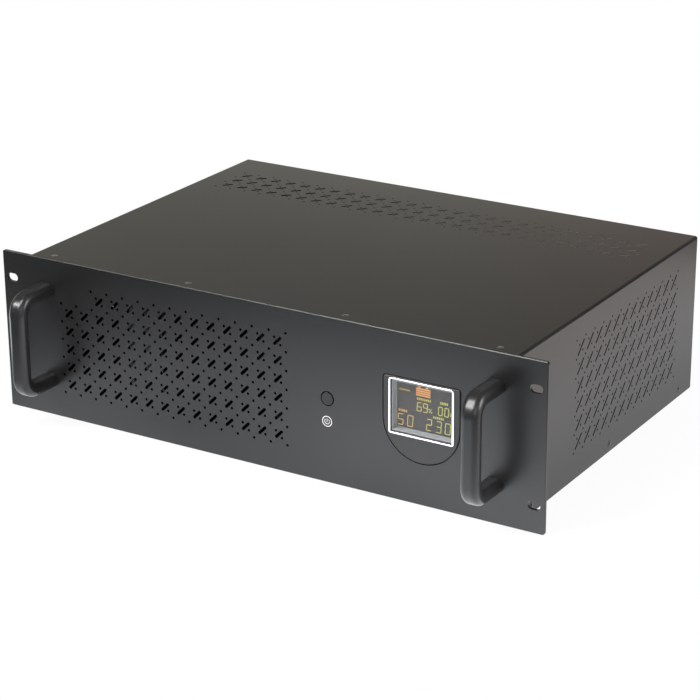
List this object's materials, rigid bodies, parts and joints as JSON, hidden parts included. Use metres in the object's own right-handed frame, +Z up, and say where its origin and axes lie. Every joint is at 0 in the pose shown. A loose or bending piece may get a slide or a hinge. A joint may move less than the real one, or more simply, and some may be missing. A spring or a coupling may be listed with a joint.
{
  "type": "uninterruptible power supply",
  "caption": "Black rack-mount uninterruptible power supply with slot-and-dot vents, D handles, a push button and a display in a half-round bezel.",
  "frame": {"origin": "middle of the bounding box, on its underside", "axes": "+X to the right of someone facing the front, +Y from the front to the back, +Z up; the front faces -Y"},
  "size_m": [0.4826, 0.3606, 0.132],
  "materials": {
    "black_coat": "fine satin powder coat, near black",
    "zinc_sheet": "zinc-plated sheet, dull",
    "handle_coat": "smooth satin black coat",
    "black_screw": "blackened steel, satin",
    "bright_steel": "bright zinc-plated steel",
    "bezel_plastic": "fine moulded texture, black",
    "silver_trim": "silver-white, satin gloss",
    "clear_lens": "clear, polished",
    "pale_plastic": "pale grey, matt",
    "lcd_face": "dark display face with amber figures",
    "circuit_board": "green solder mask",
    "button_plastic": "satin black",
    "black_plastic": "moulded black",
    "red_plastic": "glossy red",
    "pale_port": "moulded white",
    "brass_posts": "turned brass",
    "battery_case": "moulded dark grey",
    "red_lead": "extruded sleeve, red",
    "black_lead": "extruded sleeve, black",
    "core_steel": "varnished laminations",
    "coil_copper": "varnished copper winding",
    "bare_aluminium": "extruded, bare",
    "can_sleeve": "blue sleeve"
  },
  "bodies": {
    "case": {"front_panel": "black_coat", "front_frame": "zinc_sheet", "chassis_base": "zinc_sheet", "rear_panel": "black_coat", "top_cover": "black_coat", "left_handle": "handle_coat", "right_handle": "handle_coat", "handle_screws": "bright_steel", "cover_top_screws": "black_screw", "cover_side_screws": "black_screw", "display_bezel": "bezel_plastic", "display_trim": "silver_trim", "display_lens": "clear_lens", "display_tunnel": "pale_plastic", "lcd_panel": "lcd_face", "display_board": "circuit_board", "display_screws": "bright_steel", "button_holder": "bezel_plastic", "power_switch": "black_plastic", "switch_board": "circuit_board", "fan_frame": "black_plastic", "fan_guard": "bright_steel", "fan_screws": "bright_steel", "ac_inlet": "black_plastic", "inlet_pins": "bright_steel", "outlet_1": "black_plastic", "outlet_2": "black_plastic", "outlet_3": "black_plastic", "outlet_4": "black_plastic", "breaker_body": "black_plastic", "breaker_nut": "bright_steel", "usb_port": "pale_port", "network_jack": "black_plastic", "data_board": "circuit_board", "data_standoffs": "brass_posts", "battery_left": "battery_case", "battery_right": "battery_case", "battery_terminals": "bright_steel", "battery_strap": "zinc_sheet", "strap_screws": "bright_steel", "positive_lead": "red_lead", "negative_lead": "black_lead", "battery_link": "black_lead", "transformer_core": "core_steel", "transformer_coil": "coil_copper", "transformer_clamp": "zinc_sheet", "clamp_screws": "bright_steel", "main_board": "circuit_board", "board_standoffs": "brass_posts", "board_screws": "bright_steel", "front_heat_sink": "bare_aluminium", "rear_heat_sink": "bare_aluminium", "power_transistors": "black_plastic", "capacitors": "can_sleeve", "relays": "black_plastic"},
    "button": {"power_button": "button_plastic"},
    "rotor": {"fan_rotor": "black_plastic"},
    "reset": {"breaker_button": "red_plastic"}
  },
  "joints": [
    {"name": "button_press", "type": "slide", "parent": "case", "child": "button", "axis": [0, 1, 0], "range_m": [0, 0.0015], "stiffness_N_per_m": 600, "springref_m": -0.001},
    {"name": "fan_spin", "type": "hinge", "parent": "case", "child": "rotor", "pos_m": [-0.15, 0.15655, 0.066], "axis": [0, 1, 0], "continuous": true},
    {"name": "breaker_trip", "type": "slide", "parent": "case", "child": "reset", "axis": [0, 1, 0], "range_m": [0, 0.003]}
  ]
}
